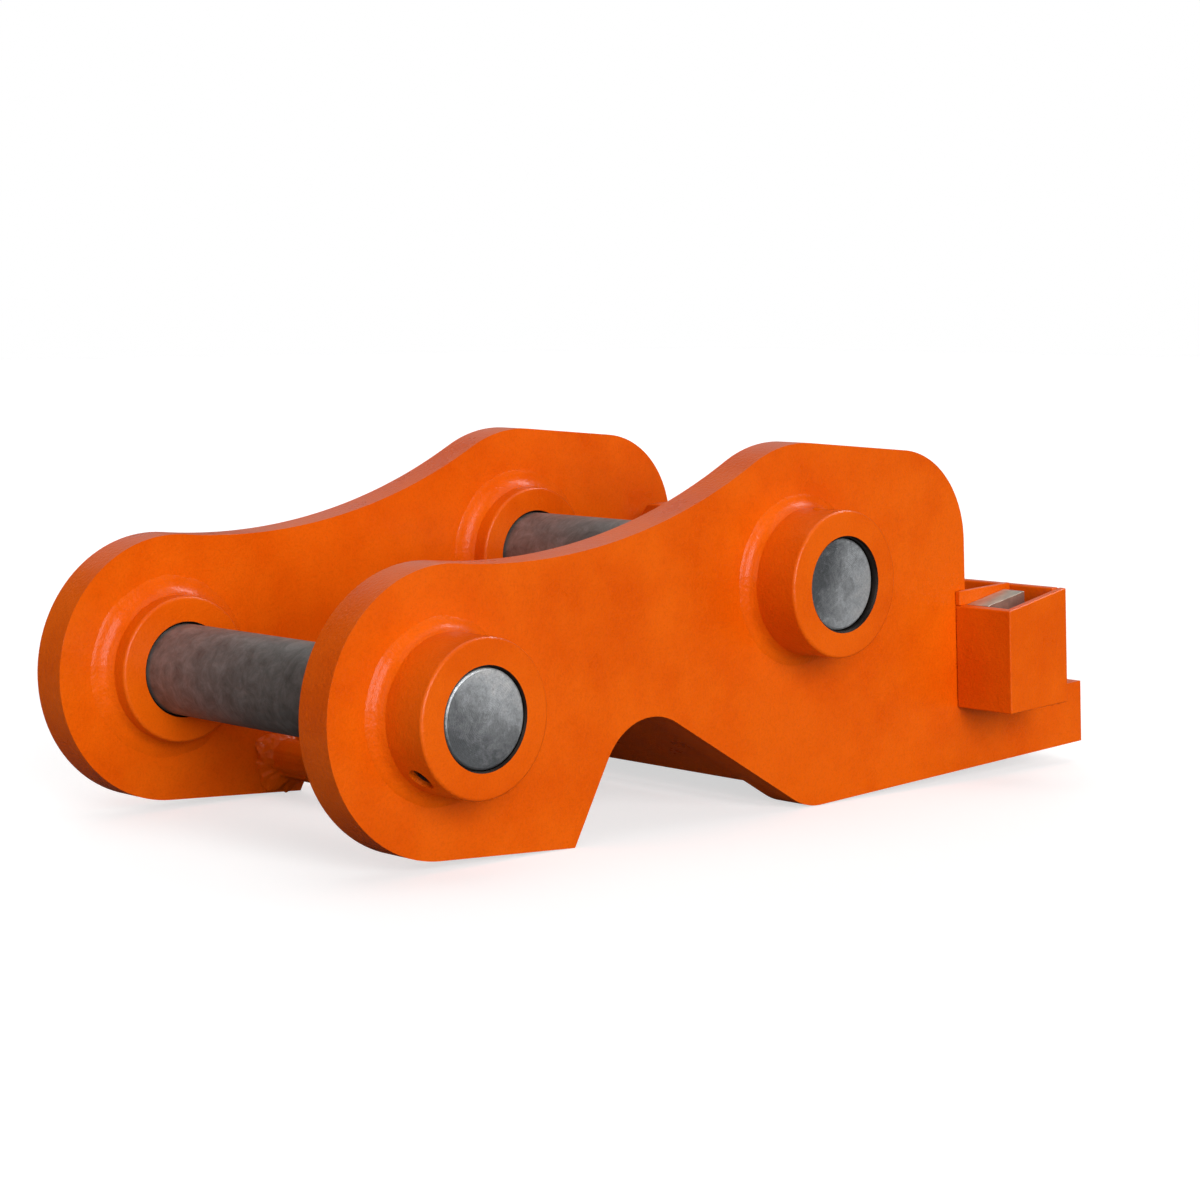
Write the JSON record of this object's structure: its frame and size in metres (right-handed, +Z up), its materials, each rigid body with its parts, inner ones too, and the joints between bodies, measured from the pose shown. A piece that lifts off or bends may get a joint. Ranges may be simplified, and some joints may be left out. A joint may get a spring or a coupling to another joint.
{
  "type": "quick coupler",
  "caption": "Excavator quick coupler: welded side plates carry two cross pins, a front hook and a rear box with a screw-driven lock bar and keys.",
  "frame": {"origin": "on the ground under the middle of the whole coupler, standing as it rests", "axes": "+X from the stick pin to the lock box, +Y along the pins to the right-hand plate, +Z up"},
  "size_m": [0.5148, 0.304, 0.1815],
  "materials": {
    "orange_paint": "glossy orange enamel over welded plate",
    "pin_steel": "bare ground steel",
    "dark_steel": "black oxide",
    "zinc_plate": "zinc plated",
    "bronze": "machined bronze"
  },
  "bodies": {
    "frame": {"side_plate_left": "orange_paint", "side_plate_right": "orange_paint", "stick_boss_left": "orange_paint", "stick_boss_right": "orange_paint", "link_boss_left": "orange_paint", "link_boss_right": "orange_paint", "stick_pin": "pin_steel", "link_pin": "pin_steel", "stick_pin_screw": "dark_steel", "link_pin_screw": "dark_steel", "hook_lining": "orange_paint", "tie_bar": "orange_paint", "floor_plate": "orange_paint", "tail_cross_plate": "orange_paint", "mid_cross_plate": "orange_paint", "box_end_wall_left": "orange_paint", "box_end_wall_right": "orange_paint", "box_front_wall_left": "orange_paint", "box_front_wall_right": "orange_paint", "box_front_wall_middle": "orange_paint", "box_rear_wall": "orange_paint", "key_guide_left": "orange_paint", "key_guide_right": "orange_paint", "lock_lid": "orange_paint", "lid_rail_front": "orange_paint", "lid_rail_rear": "orange_paint", "lid_bolt_1": "zinc_plate", "lid_bolt_2": "zinc_plate", "lid_bolt_3": "zinc_plate", "lid_bolt_4": "zinc_plate", "grease_fitting": "zinc_plate", "keeper_lug_left": "orange_paint", "keeper_lug_right": "orange_paint", "keeper_pin": "dark_steel"},
    "lock_carriage": {"lock_crossbar": "pin_steel", "lock_nut": "bronze", "lock_key_left": "pin_steel", "lock_key_right": "pin_steel", "key_bolt_left": "zinc_plate", "key_bolt_right": "zinc_plate"},
    "spindle": {"lock_spindle": "pin_steel", "spindle_collar": "dark_steel", "collar_pin": "zinc_plate", "spindle_washer": "zinc_plate"},
    "keeper": {"head_keeper": "zinc_plate"}
  },
  "joints": [
    {"name": "lock_slide", "type": "slide", "parent": "frame", "child": "lock_carriage", "axis": [-0.0515, 0, 0.9987], "range_m": [-0.026, 0]},
    {"name": "spindle_turn", "type": "hinge", "parent": "frame", "child": "spindle", "pos_m": [0.1715, 0, 0.10678], "axis": [-0.0515, 0, 0.9987], "range_deg": [0, 2340]},
    {"name": "keeper_swing", "type": "hinge", "parent": "frame", "child": "keeper", "pos_m": [0.20481, 0, 0.12101], "axis": [0, 1, 0], "range_deg": [-172, 0]}
  ],
  "couplings": [
    {"joint": "spindle_turn", "follows": "lock_slide", "rad_per_m": -1570.8}
  ]
}
